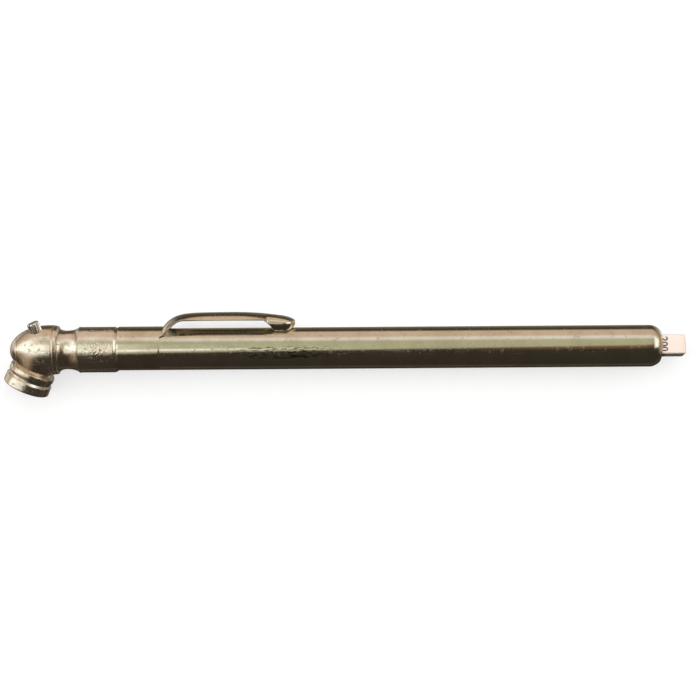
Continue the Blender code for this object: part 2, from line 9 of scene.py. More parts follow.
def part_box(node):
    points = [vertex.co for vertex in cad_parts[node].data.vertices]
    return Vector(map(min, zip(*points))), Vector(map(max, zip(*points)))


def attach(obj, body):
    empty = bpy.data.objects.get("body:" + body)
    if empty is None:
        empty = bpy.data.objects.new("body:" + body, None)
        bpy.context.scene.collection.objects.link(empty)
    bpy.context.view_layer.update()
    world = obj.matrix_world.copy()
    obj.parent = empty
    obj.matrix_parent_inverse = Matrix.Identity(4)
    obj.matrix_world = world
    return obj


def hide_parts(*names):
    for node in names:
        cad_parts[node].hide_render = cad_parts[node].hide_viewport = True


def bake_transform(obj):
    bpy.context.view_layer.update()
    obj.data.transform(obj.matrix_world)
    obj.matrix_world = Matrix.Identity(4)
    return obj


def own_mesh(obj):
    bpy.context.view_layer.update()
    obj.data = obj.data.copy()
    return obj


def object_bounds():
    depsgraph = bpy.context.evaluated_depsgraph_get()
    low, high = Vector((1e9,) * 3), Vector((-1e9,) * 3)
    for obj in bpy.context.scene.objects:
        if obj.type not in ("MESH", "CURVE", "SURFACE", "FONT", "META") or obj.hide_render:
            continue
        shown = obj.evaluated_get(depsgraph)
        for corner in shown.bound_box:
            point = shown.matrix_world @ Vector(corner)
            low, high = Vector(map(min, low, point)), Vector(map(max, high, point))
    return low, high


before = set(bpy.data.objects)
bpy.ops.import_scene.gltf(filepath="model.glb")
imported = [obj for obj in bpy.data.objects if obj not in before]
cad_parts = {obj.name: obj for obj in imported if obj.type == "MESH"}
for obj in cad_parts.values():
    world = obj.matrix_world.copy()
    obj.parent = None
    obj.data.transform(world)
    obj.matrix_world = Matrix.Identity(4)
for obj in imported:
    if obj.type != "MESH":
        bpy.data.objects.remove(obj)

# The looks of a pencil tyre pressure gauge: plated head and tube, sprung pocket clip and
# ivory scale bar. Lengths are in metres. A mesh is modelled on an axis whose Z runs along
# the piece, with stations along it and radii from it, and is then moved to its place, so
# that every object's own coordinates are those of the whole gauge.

CAD_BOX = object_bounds()
MM = 0.001

# ---- driving dimensions, on the frame's own places ----

TUBE_LOW, TUBE_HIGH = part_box("barrel")
TUBE_RADIUS = (TUBE_HIGH.z - TUBE_LOW.z) / 2
TUBE_START = -5.5 * MM
TUBE_END = TUBE_START + TUBE_HIGH.x - TUBE_LOW.x
TUBE_BORE = TUBE_RADIUS - 0.46 * MM
ROLL_LENGTH = 2.2 * MM
ROLL_POWER = 1.5
LIP_BORE = 3.45 * MM
GUIDE_END = TUBE_END + 0.15 * MM

BALL_RADIUS = 5.68 * MM
BALL_HALF_LENGTH = 9.05 * MM
BALL_CENTRE = -15.3 * MM
CAP_GROOVE = -22.6 * MM
SHOULDER = -14.1 * MM
NECK_RADIUS = 4.4 * MM
NECK_STATION = -11.3 * MM
COLLAR_RADIUS = 5.2 * MM
COLLAR_START = -8.3 * MM
COLLAR_END = 0.3 * MM
SOCKET_FLOOR = -6.5 * MM
PASSAGE_RADIUS = 1.2 * MM

CROSSING = -17.2 * MM
CHUCK_ANGLE = math.radians(65.4)
MOUTH = 9.5 * MM
CHUCK_RADIUS = 5.1 * MM
FLANGE_RADIUS = 5.37 * MM
MOUTH_BORE = 4.1 * MM
SEAL_FLOOR = 4.2 * MM
SEAL_FACE = 6.0 * MM
RETAINER_START = 6.2 * MM
RETAINER_END = 6.6 * MM
DEPRESSOR_FLOOR = 3.4 * MM

PIN_STATION = -16.0 * MM
PIN_RISE = 1.2 * MM
PIN_RADIUS = 1.45 * MM
PIN_TOP = 7.24 * MM
PIN_ROOT = 3.4 * MM
PIN_LEAN = math.radians(111)
PIN_ROLL = math.radians(8)
PIN_FLUTES = 10
FLUTE_TWIST = 140  # radians for each metre along the pin

CLIP_SHEET = 0.35 * MM
BAND_START = 0.45 * MM
BAND_END = 10.1 * MM
BAND_OPENING = 40  # degrees, half the gap in the band
BAND_STEP = 3.5  # degrees between the stamping's grid lines
ARM_ROOT_ANGLE = 45.5  # degrees, half the arm's spread where it leaves the band
ARM_ANGLE = 42  # degrees, the same past the root's flare
ARM_RISE_START = BAND_END + 0.7 * MM
ARM_TOP = 8.45 * MM
ARM_EDGE = 7.14 * MM  # height of its side edges over the tube's axis
ARM_END = 40.65 * MM
LOBE_START = 34.5 * MM

BAR_SIDE = 4.42 * MM
BAR_EDGE = 0.4 * MM
BAR_TIP = 129.23 * MM
BAR_INNER_END = 15.5 * MM
BAR_BORE = 1.6 * MM
BAR_ROLL = math.radians(-22)

SPRING_RADIUS = 3.75 * MM
SPRING_WIRE = 0.3 * MM  # radius
SPRING_START = 8.6 * MM
SPRING_END = 117.4 * MM
SPRING_TURNS = 22

GAP = 0.1 * MM
MERGE = 1e-7
CLIP_MIDDLE = TUBE_RADIUS + GAP + CLIP_SHEET / 2  # of the sheet's thickness

# The tube's axis: Z along the tube, X towards the clip and Y up
AXES = Matrix(((0, 0, 1, 0), (1, 0, 0, 0), (0, 1, 0, 0), (0, 0, 0, 1)))
ORIGIN = Vector(
    (TUBE_LOW.x - TUBE_START, (TUBE_LOW.y + TUBE_HIGH.y) / 2, (TUBE_LOW.z + TUBE_HIGH.z) / 2)
)
GAUGE = Matrix.Translation(ORIGIN) @ AXES
TO_CROSSING = Matrix.Translation((0, 0, CROSSING))
TO_PIN = Matrix.Translation((0, PIN_RISE, PIN_STATION))
CHUCK = GAUGE @ TO_CROSSING @ Euler((0, CHUCK_ANGLE - math.pi, 0)).to_matrix().to_4x4()
PIN = GAUGE @ TO_PIN @ Euler((0, PIN_LEAN, PIN_ROLL)).to_matrix().to_4x4()
INDICATOR = GAUGE @ Matrix.Rotation(BAR_ROLL, 4, "Z")


# ---- meshes ----


def arc(centre, radii, start, end, count):
    """(station, radius) points on an ellipse, with the angle in degrees from the axis."""
    angles = [math.radians(start + (end - start) * i / (count - 1)) for i in range(count)]
    return [
        (centre[0] + radii[0] * math.cos(angle), centre[1] + radii[1] * math.sin(angle))
        for angle in angles
    ]


def softened(section, cut, count=4, sharpest=25):
    """The section with its corners rounded, except where it meets the axis."""
    soft = [section[0]]
    for before, corner, after in zip(section, section[1:], section[2:]):
        here = Vector(corner)
        back = Vector(before) - here
        ahead = Vector(after) - here
        turn = 180 - math.degrees(back.angle(ahead, math.pi))
        if turn < sharpest:
            soft.append(corner)
            continue
        reach = min(cut, back.length * 0.45, ahead.length * 0.45)
        first = here + back.normalized() * reach
        last = here + ahead.normalized() * reach
        for i in range(count + 1):
            t = i / count
            place = first * (1 - t) ** 2 + here * 2 * t * (1 - t) + last * t**2
            soft.append((place.x, place.y))
    return soft + [section[-1]]


def divided(section, longest):
    """The section with points added so that no stretch is longer than this."""
    points = [section[0]]
    for start, end in zip(section, section[1:]):
        count = max(1, math.ceil(math.dist(start, end) / longest))
        for i in range(1, count + 1):
            t = i / count
            points.append((start[0] + (end[0] - start[0]) * t, start[1] + (end[1] - start[1]) * t))
    return points


def drilling(start, end, radius):
    """The section of a plain round hole."""
    return [(start, 0), (start, radius), (end, radius), (end, 0)]


def finished(name, shape, axis):
    """A new object from a bmesh, moved to its axis, with its faces pointing out."""
    bmesh.ops.transform(shape, matrix=axis, verts=shape.verts)
    bmesh.ops.recalc_face_normals(shape, faces=shape.faces)
    mesh = bpy.data.meshes.new(name)
    shape.to_mesh(mesh)
    shape.free()
    obj = bpy.data.objects.new(name, mesh)
    bpy.context.scene.collection.objects.link(obj)
    return obj


def turned(name, section, axis, steps):
    """A closed solid turned about Z from points that go round half its section."""
    shape = bmesh.new()
    verts = [shape.verts.new((radius, 0, station)) for station, radius in section]
    edges = [shape.edges.new(pair) for pair in zip(verts, verts[1:])]
    if section[0][1] > 0 or section[-1][1] > 0:
        edges.append(shape.edges.new((verts[-1], verts[0])))
    bmesh.ops.spin(
        shape,
        geom=verts + edges,
        axis=(0, 0, 1),
        cent=(0, 0, 0),
        angle=2 * math.pi,
        steps=steps,
        use_merge=True,
    )
    bmesh.ops.remove_doubles(shape, verts=shape.verts, dist=MERGE)
    bmesh.ops.dissolve_degenerate(shape, edges=shape.edges, dist=MERGE)
    return finished(name, shape, axis)


def loft(name, rings, axis):
    """A closed solid through rings of points, with flat ends."""
    shape = bmesh.new()
    rows = [[shape.verts.new(point) for point in ring] for ring in rings]
    count = len(rings[0])
    for row, following in zip(rows, rows[1:]):
        for i in range(count):
            j = (i + 1) % count
            shape.faces.new((row[i], row[j], following[j], following[i]))
    shape.faces.new(rows[0])
    shape.faces.new(rows[-1])
    return finished(name, shape, axis)


def settle(obj, sharp=35):
    """Turns the modifiers into mesh and shades it smooth except at real edges."""
    graph = bpy.context.evaluated_depsgraph_get()
    mesh = bpy.data.meshes.new_from_object(obj.evaluated_get(graph))
    obj.modifiers.clear()
    obj.data = mesh
    mesh.shade_smooth()
    mesh.set_sharp_from_angle(angle=math.radians(sharp))
    return obj


def combine(obj, helper, operation):
    """Joins the helper to obj or cuts it out, and removes the helper."""
    modifier = obj.modifiers.new("combine", "BOOLEAN")
    modifier.operation = operation
    modifier.object = helper
    modifier.solver = "EXACT"
    settle(obj)
    bpy.data.objects.remove(helper)


def smooth_step(value, start, end):
    part = min(max((value - start) / (end - start), 0), 1)
    return part * part * (3 - 2 * part)


# ---- head ----


def ball_radius_at(station):
    return BALL_RADIUS * math.sqrt(1 - ((station - BALL_CENTRE) / BALL_HALF_LENGTH) ** 2)


def head_section():
    """Ball with its cap line, shoulder groove, waisted neck, and collar with the tube's socket."""
    groove = 0.15 * MM
    line = 0.09 * MM
    ball = arc((BALL_CENTRE, 0), (BALL_HALF_LENGTH, BALL_RADIUS), 180, 90, 56)
    ball[0] = (BALL_CENTRE - BALL_HALF_LENGTH, 0)
    cap = [point for point in ball if point[0] < CAP_GROOVE - line]
    body = [point for point in ball if CAP_GROOVE + line < point[0] < SHOULDER - 3 * groove]
    cap_line = [
        (CAP_GROOVE - line, ball_radius_at(CAP_GROOVE - line)),
        (CAP_GROOVE, ball_radius_at(CAP_GROOVE) - line),
        (CAP_GROOVE + line, ball_radius_at(CAP_GROOVE + line) + 0.03 * MM),
    ]
    shoulder = [
        (SHOULDER - 2 * groove, BALL_RADIUS),
        (SHOULDER - groove, BALL_RADIUS - 0.02 * MM),
        (SHOULDER, BALL_RADIUS - groove),
        (SHOULDER + groove, BALL_RADIUS - 0.04 * MM),
    ]
    high = 5.45 * MM
    neck_left = arc((NECK_STATION, high), (1.95 * MM, high - NECK_RADIUS), 180, 270, 20)
    high = 5.7 * MM
    neck_right = arc((NECK_STATION, high), (3.1 * MM, high - NECK_RADIUS), 270, 342, 20)
    collar = [
        (COLLAR_START, COLLAR_RADIUS),
        (COLLAR_END - 0.6 * MM, COLLAR_RADIUS),
        (COLLAR_END, COLLAR_RADIUS - 0.3 * MM),
        (COLLAR_END, TUBE_RADIUS + GAP),
    ]
    socket = [(SOCKET_FLOOR, TUBE_RADIUS + GAP), (SOCKET_FLOOR, 0)]
    outside = cap + cap_line + body + shoulder + neck_left + neck_right[1:] + collar
    return divided(softened(outside, 0.1 * MM), 0.14 * MM) + socket


def chuck_section():
    """Bulb that carries on the ball's curve, then bead, groove and mouth flange."""
    root_depth = 4.0 * MM
    bulb_radius = 5.6 * MM
    bulb_length = 7.9 * MM
    bead_start = 5.0 * MM
    dome = arc((0, 0), (root_depth, bulb_radius), 180, 90, 40)
    dome[0] = (-root_depth, 0)
    bulb_end = math.degrees(math.acos(bead_start / bulb_length))
    bulb = arc((0, 0), (bulb_length, bulb_radius), 90, bulb_end, 30)
    bead_half = 0.75 * MM
    bead_middle = (bead_start + bead_half, CHUCK_RADIUS - 0.05 * MM)
    bead = arc(bead_middle, (bead_half, 0.2 * MM), 180, 0, 16)
    flange = [
        (6.95 * MM, CHUCK_RADIUS - 0.1 * MM),
        (7.5 * MM, FLANGE_RADIUS - 0.05 * MM),
        (MOUTH - 0.2 * MM, FLANGE_RADIUS),
        (MOUTH, FLANGE_RADIUS - 0.15 * MM),
        (MOUTH, 0),
    ]
    section = softened(dome + bulb[1:] + bead + flange, 0.12 * MM)
    return divided(section, 0.2 * MM)


def mouth_bore_section():
    """The chuck's bores, from the open mouth down to the air passage."""
    snap_groove = MOUTH_BORE + 0.4 * MM
    pocket = 3.3 * MM
    pocket_cone = 2.4 * MM
    entry = 0.25 * MM
    outside = MOUTH + 1 * MM
    passage_side = -0.4 * MM
    return [
        (outside, 0),
        (outside, MOUTH_BORE + entry),
        (MOUTH, MOUTH_BORE + entry),
        (MOUTH - entry, MOUTH_BORE),
        (RETAINER_END + GAP, MOUTH_BORE),
        (RETAINER_END + GAP, snap_groove),
        (RETAINER_START - GAP, snap_groove),
        (RETAINER_START - GAP, MOUTH_BORE),
        (SEAL_FLOOR, MOUTH_BORE),
        (SEAL_FLOOR, pocket),
        (DEPRESSOR_FLOOR, pocket),
        (DEPRESSOR_FLOOR, pocket_cone),
        (DEPRESSOR_FLOOR - 0.8 * MM, PASSAGE_RADIUS),
        (passage_side, PASSAGE_RADIUS),
        (passage_side, 0),
    ]


def surface_of(obj):
    shape = bmesh.new()
    shape.from_mesh(obj.data)
    tree = BVHTree.FromBMesh(shape)
    shape.free()
    return tree


def soften_seam(obj, first, second, reach, rounds):
    """Rounds the crease where two joined bodies meet, as a casting has it."""
    shape = bmesh.new()
    shape.from_mesh(obj.data)
    near = []
    for vert in shape.verts:
        to_first = first.find_nearest(vert.co)[3]
        to_second = second.find_nearest(vert.co)[3]
        if to_first < reach and to_second < reach:
            near.append(vert)
    for _ in range(rounds):
        bmesh.ops.smooth_vert(
            shape, verts=near, factor=0.5, use_axis_x=True, use_axis_y=True, use_axis_z=True
        )
    shape.to_mesh(obj.data)
    shape.free()


def worn_collar(obj):
    """Shallow dents and blurred raised spots round the collar, from years in a tool box."""
    start = COLLAR_START + 0.7 * MM
    end = COLLAR_END - 0.9 * MM
    fade = 0.8 * MM
    dent_size = 0.62 * MM
    dent_depth = 0.045 * MM
    hollow_size = 1.9 * MM
    hollow_depth = 0.012 * MM
    elsewhere = Vector((7, 3, 1))  # so that hollows don't follow the dents
    to_axis = GAUGE.inverted()
    for vert in obj.data.vertices:
        local = to_axis @ vert.co
        radius = math.hypot(local.x, local.y)
        if radius < COLLAR_RADIUS - 0.1 * MM or not start < local.z < end:
            continue
        share = smooth_step(local.z, start, start + fade) * smooth_step(-local.z, -end, fade - end)
        dents = max(abs(noise.noise(vert.co / dent_size)) - 0.12, 0)
        hollows = noise.noise(vert.co / hollow_size + elsewhere)
        depth = dent_depth * dents * (1 + 1.5 * hollows) + hollow_depth * hollows
        vert.co -= GAUGE.to_3x3() @ Vector((local.x, local.y, 0)) / radius * depth * share


def make_head():
    body = turned("head_skin", head_section(), GAUGE, 256)
    chuck = turned("chuck_outside", chuck_section(), CHUCK, 224)
    surfaces = (surface_of(body), surface_of(chuck))
    combine(body, chuck, "UNION")
    soften_seam(body, *surfaces, reach=0.5 * MM, rounds=30)
    combine(body, turned("mouth_bore", mouth_bore_section(), CHUCK, 128), "DIFFERENCE")
    passage = drilling(CROSSING, SOCKET_FLOOR + 1 * MM, PASSAGE_RADIUS)
    combine(body, turned("air_passage", passage, GAUGE, 48), "DIFFERENCE")
    pin_hole = drilling(PIN_ROOT - GAP, PIN_TOP + 1 * MM, PIN_RADIUS + 0.02 * MM)
    combine(body, turned("pin_hole", pin_hole, PIN, 64), "DIFFERENCE")
    worn_collar(body)
    return settle(body)


def make_pin():
    """The deflator pin, with slanting flutes and a turned chamfer at its top."""
    chamfer = 0.22 * MM
    flute_depth = 0.24 * MM
    rings = []
    steps = 36
    count = PIN_FLUTES * 16
    for step in range(steps + 1):
        station = PIN_ROOT + (PIN_TOP - PIN_ROOT) * step / steps
        fluted = smooth_step(station, PIN_ROOT, PIN_ROOT + 1 * MM)
        cut = max(station - PIN_TOP + chamfer, 0)
        twist = FLUTE_TWIST * (station - PIN_ROOT)
        ring = []
        for i in range(count):
            angle = 2 * math.pi * i / count
            turn = angle + twist
            wave = max(math.cos(PIN_FLUTES * angle), -0.2)
            depth = flute_depth * fluted * (0.5 + 0.5 * wave) ** 1.6
            radius = PIN_RADIUS - max(depth, cut)
            ring.append((radius * math.cos(turn), radius * math.sin(turn), station))
        rings.append(ring)
    return settle(loft("deflator_pin_skin", rings, PIN), 40)


def make_seal():
    """Rubber washer with the ring that a valve has pressed into its face."""
    start = SEAL_FLOOR + GAP
    inner = 2.2 * MM
    outer = MOUTH_BORE - GAP
    valve_mark = SEAL_FACE - 0.16 * MM
    section = [
        (start, inner),
        (start, outer),
        (SEAL_FACE - 0.1 * MM, outer),
        (SEAL_FACE, outer - 0.2 * MM),
        (SEAL_FACE - 0.02 * MM, 3.75 * MM),
        (valve_mark, 3.45 * MM),
        (valve_mark, 3.2 * MM),
        (SEAL_FACE, 2.9 * MM),
        (SEAL_FACE - 0.05 * MM, 2.45 * MM),
        (SEAL_FACE - 0.3 * MM, inner),
    ]
    return settle(turned("chuck_seal_skin", softened(section, 0.15 * MM), CHUCK, 128), 60)


def roll(length, depth, count):
    """(station, radius) points along the rolled-in end, from the straight wall to the lip."""
    points = []
    for i in range(count):
        turn = math.pi / 2 * i / (count - 1)
        along = length * math.sin(turn) ** (2 / ROLL_POWER)
        above_lip = depth * max(math.cos(turn), 0) ** (2 / ROLL_POWER)
        points.append((TUBE_END - ROLL_LENGTH + along, LIP_BORE + above_lip))
    return points


def make_tube():
    """The tube, with its far end rolled in over the bar guide."""
    wall = TUBE_RADIUS - TUBE_BORE
    outside = roll(ROLL_LENGTH, TUBE_RADIUS - LIP_BORE, 32)
    inside = roll(ROLL_LENGTH - wall, TUBE_BORE - LIP_BORE, 12)
    straight = divided([(TUBE_START, TUBE_RADIUS), (TUBE_END - ROLL_LENGTH, TUBE_RADIUS)], 2 * MM)
    section = [(TUBE_START, TUBE_BORE)] + straight + outside[1:] + inside[::-1]
    return settle(turned("tube_skin", section, GAUGE, 256))


def make_spring():
    """A compression coil, closed to a flat turn at each end."""
    points_in_turn = 36
    sides = 10
    dead_turn = 1 / SPRING_TURNS
    end_pitch = 3 * SPRING_WIRE / dead_turn
    open_length = SPRING_END - SPRING_START - 6 * SPRING_WIRE
    rings = []
    for i in range(SPRING_TURNS * points_in_turn + 1):
        along = i / (SPRING_TURNS * points_in_turn)
        angle = 2 * math.pi * i / points_in_turn
        rise = min(max((along - dead_turn) / (1 - 2 * dead_turn), 0), 1)
        closed = min(along, dead_turn) + max(along - 1 + dead_turn, 0)
        station = SPRING_START + closed * end_pitch + rise * open_length
        ring = []
        for side in range(sides):
            turn = 2 * math.pi * side / sides
            radius = SPRING_RADIUS + SPRING_WIRE * math.cos(turn)
            height = station + SPRING_WIRE * math.sin(turn)
            ring.append((radius * math.cos(angle), radius * math.sin(angle), height))
        rings.append(ring)
    return settle(loft("main_spring_skin", rings, GAUGE), 60)


# ---- pocket clip ----


def arm_crown(station):
    """Height of the arm's middle line over the tube's axis: a quick rise, then a slow fall."""
    top = ARM_TOP - CLIP_SHEET / 2
    rise_length = 2.2 * MM
    fall_start = 26.5 * MM
    fall_per_metre = 6.8
    if station < ARM_RISE_START:
        return CLIP_MIDDLE
    height = top - (top - CLIP_MIDDLE) * math.exp(-(station - ARM_RISE_START) / rise_length)
    return height - fall_per_metre * max(station - fall_start, 0) ** 2


def arm_arch(station):
    """Radius and half-angle of the arm's arch, which starts as part of the band."""
    root_angle = math.radians(ARM_ANGLE)
    root_half = CLIP_MIDDLE * math.sin(root_angle)
    root_depth = CLIP_MIDDLE * (1 - math.cos(root_angle))
    straight_half = 2.95 * MM
    straight_depth = arm_crown(station) - ARM_EDGE
    half = root_half + (straight_half - root_half) * smooth_step(station, BAND_END, 20 * MM)
    flattened = smooth_step(station, 12.2 * MM, 15.5 * MM)
    depth = root_depth + (straight_depth - root_depth) * flattened
    radius = (half**2 + depth**2) / (2 * depth)
    flare = 1 - smooth_step(station, BAND_END, ARM_RISE_START)
    return radius, math.asin(half / radius) + math.radians(ARM_ROOT_ANGLE - ARM_ANGLE) * flare**1.5


def arm_section(station, count):
    """Points across the arm: a shallow arch that deepens into a rounded lobe at the end."""
    crown = arm_crown(station)
    arch_radius, arch_angle = arm_arch(station)
    lobe_half = 2.55 * MM
    lobe_middle = 6.15 * MM
    lobe_depth_below = 2.9 * MM
    lobe_reach = 90 + 34 * smooth_step(station, LOBE_START, LOBE_START + 1.9 * MM)
    nose_start = 37.9 * MM
    nose = max(station - nose_start, 0) / (ARM_END - nose_start)
    shrink = math.sqrt(max(1 - nose**2, 0.03))
    lobe_share = smooth_step(station, LOBE_START - 0.9 * MM, LOBE_START + 0.3 * MM)
    points = []
    for i in range(count + 1):
        across = -1 + 2 * i / count
        turn = arch_angle * across
        arch = Vector((crown - arch_radius * (1 - math.cos(turn)), arch_radius * math.sin(turn)))
        turn = math.radians(lobe_reach) * across
        depth = (crown - lobe_middle) if math.cos(turn) > 0 else lobe_depth_below
        lobe_height = lobe_middle + shrink * depth * math.cos(turn)
        lobe_side = lobe_half * shrink * math.sin(turn)
        height, side = arch.lerp(Vector((lobe_height, lobe_side)), lobe_share)
        points.append((height, side, station))
    return points


def arm_stations():
    """Closer together at the root's bend and along the lobe."""
    smallest = 0.13 * MM
    stations = [BAND_END]
    while stations[-1] < ARM_END - smallest:
        here = stations[-1]
        bending = here < 18 * MM or here > LOBE_START - 1.2 * MM
        step = 0.18 * MM if bending else 0.6 * MM
        to_end = (ARM_END - here) * 0.3
        stations.append(min(here + max(min(step, to_end), smallest), ARM_END))
    return stations


def grid_faces(shape, rows):
    """Adds four-sided faces between rows that have the same number of points."""
    verts = [[shape.verts.new(point) for point in row] for row in rows]
    for row, following in zip(verts, verts[1:]):
        for i in range(len(row) - 1):
            shape.faces.new((row[i], following[i], following[i + 1], row[i + 1]))


def make_clip():
    """Band and arm as the one stamping that they are, with rounded sheet edges."""
    reach = 180 - BAND_OPENING
    steps = round(2 * reach / BAND_STEP)
    angles = [math.radians(-reach + BAND_STEP * i) for i in range(steps + 1)]
    around = [(CLIP_MIDDLE * math.cos(angle), CLIP_MIDDLE * math.sin(angle)) for angle in angles]
    band = []
    band_rows = 24
    for i in range(band_rows + 1):
        station = BAND_START + (BAND_END - BAND_START) * i / band_rows
        band.append([(height, side, station) for height, side in around])
    shape = bmesh.new()
    grid_faces(shape, band)
    across = round(2 * ARM_ROOT_ANGLE / BAND_STEP)
    grid_faces(shape, [arm_section(station, across) for station in arm_stations()])
    bmesh.ops.remove_doubles(shape, verts=shape.verts, dist=10 * MERGE)
    clip = finished("clip_skin", shape, GAUGE)
    solidify = clip.modifiers.new("thickness", "SOLIDIFY")
    solidify.thickness = CLIP_SHEET - 0.01 * MM
    solidify.offset = 0
    solidify.use_even_offset = True
    edge = clip.modifiers.new("edge", "BEVEL")
    edge.width = 0.12 * MM
    edge.segments = 4
    edge.limit_method = "ANGLE"
    edge.angle_limit = math.radians(50)
    return settle(clip, 50)


# ---- scale bar and its print ----


def rounded_square(half, edge, station, count=6):
    """Points round a square with rounded corners."""
    points = []
    for corner in range(4):
        middle = math.radians(45 + 90 * corner)
        centre = Vector((math.cos(middle), math.sin(middle))) * math.sqrt(2) * (half - edge)
        for i in range(count + 1):
            angle = math.radians(90 * corner + 90 * i / count)
            x = centre.x + edge * math.cos(angle)
            y = centre.y + edge * math.sin(angle)
            points.append((x, y, station))
    return points


def make_bar():
    """The hollow square bar, closed and rounded at its tip."""
    half = BAR_SIDE / 2
    end_edge = 0.3 * MM
    length = BAR_TIP - end_edge - BAR_INNER_END
    steps = 40
    end_steps = 6
    rings = []
    for i in range(steps + 1):
        rings.append(rounded_square(half, BAR_EDGE, BAR_INNER_END + length * i / steps))
    for i in range(1, end_steps + 1):
        turn = math.radians(90 * i / end_steps)
        inset = end_edge * (1 - math.cos(turn))
        station = BAR_TIP - end_edge * (1 - math.sin(turn))
        rings.append(rounded_square(half - inset, BAR_EDGE, station))
    bar = loft("scale_bar_skin", rings, INDICATOR)
    bore = drilling(BAR_INNER_END - 1 * MM, BAR_TIP - 3 * MM, BAR_BORE)
    combine(bar, turned("bar_bore", bore, INDICATOR, 48), "DIFFERENCE")
    return settle(bar)


PRINT_HEIGHT = 1.7 * MM  # of a digit, along the bar
PRINT_WIDTH = 3.4 * MM  # of a number
PRINT_THICKNESS = 0.012 * MM
FIRST_KILOPASCALS = 200
FIRST_BASELINE = GUIDE_END - 0.35 * MM
KILOPASCAL_SPACING = 0.07 * MM  # along the bar
KILOPASCALS_IN_POUND = 6.895  # in one pound per square inch


def digits(shape, number, baseline):
    """Adds a number whose foot is at the baseline and whose top points to the bar's tip."""
    curve = bpy.data.curves.new("digits", "FONT")
    curve.body = str(number)
    curve.align_x = "CENTER"
    curve.resolution_u = 3
    curve.offset = 0.018
    curve.extrude = 0.5
    text = bpy.data.objects.new("digits", curve)
    bpy.context.scene.collection.objects.link(text)
    graph = bpy.context.evaluated_depsgraph_get()
    mesh = bpy.data.meshes.new_from_object(text.evaluated_get(graph))
    bpy.data.objects.remove(text)
    sides = [vert.co.x for vert in mesh.vertices]
    heights = [vert.co.y for vert in mesh.vertices]
    wide = max(sides) - min(sides)
    low = min(heights)
    tall = max(heights) - low
    across = min(PRINT_WIDTH / wide, 1.3 * PRINT_HEIGHT / tall)
    for vert in mesh.vertices:
        x, y, z = vert.co
        station = baseline + (y - low) / tall * PRINT_HEIGHT
        vert.co = (BAR_SIDE / 2 + z * PRINT_THICKNESS, x * across, station)
    shape.from_mesh(mesh)
    bpy.data.meshes.remove(mesh)


def stroke(shape, side, length, station, width):
    """A graduation line across the bar, from the edge on this side towards the middle."""
    half = BAR_SIDE / 2
    centre = (half, side * (half - BAR_EDGE - length / 2), station)
    size = Matrix.Diagonal((PRINT_THICKNESS, length, width, 1))
    bmesh.ops.create_cube(shape, size=1, matrix=Matrix.Translation(centre) @ size)


def make_print(name, face, in_pounds):
    """The numbers and graduation lines on one face of the bar."""
    line_length = 0.45 * MM
    line_width = 0.14 * MM
    shape = bmesh.new()
    if in_pounds:
        kilopascals = KILOPASCALS_IN_POUND
        numbers = range(30, 121, 10)
        fine_step = 2
    else:
        kilopascals = 1
        numbers = range(FIRST_KILOPASCALS, 801, 100)
        fine_step = 20
    for value in range(numbers[0], numbers[-1] + 1, fine_step):
        drop = (value * kilopascals - FIRST_KILOPASCALS) * KILOPASCAL_SPACING
        if value in numbers:
            digits(shape, value, FIRST_BASELINE - drop)
            continue
        station = FIRST_BASELINE + PRINT_HEIGHT / 2 - drop
        stroke(shape, 1, line_length, station, line_width)
        stroke(shape, -1, line_length, station, line_width)
    return finished(name, shape, INDICATOR @ Matrix.Rotation(math.pi / 2 * face, 4, "Z"))


# ---- materials ----


class NodeTree:
    """Shader nodes that are added one call at a time. An input is a value or an output."""

    def __init__(self, tree):
        self.nodes = tree.nodes
        self.links = tree.links

    def set(self, socket, value):
        if isinstance(value, bpy.types.NodeSocket):
            self.links.new(value, socket)
        else:
            socket.default_value = value

    def add(self, kind, inputs, output=0, **settings):
        node = self.nodes.new("ShaderNode" + kind)
        for key, value in settings.items():
            setattr(node, key, value)
        for key, value in inputs.items():
            self.set(node.inputs[key], value)
        return node.outputs[output]

    def math(self, operation, first, second=0.0):
        return self.add("Math", {0: first, 1: second}, operation=operation)

    def ranged(self, value, low, high, to_low=0.0, to_high=1.0):
        """The value carried smoothly from one range to another, and held at its ends."""
        inputs = {
            "Value": value,
            "From Min": low,
            "From Max": high,
            "To Min": to_low,
            "To Max": to_high,
        }
        return self.add("MapRange", inputs, interpolation_type="SMOOTHSTEP")

    def mix(self, factor, first, second):
        return self.add("Mix", {0: factor, 6: first, 7: second}, 2, data_type="RGBA")


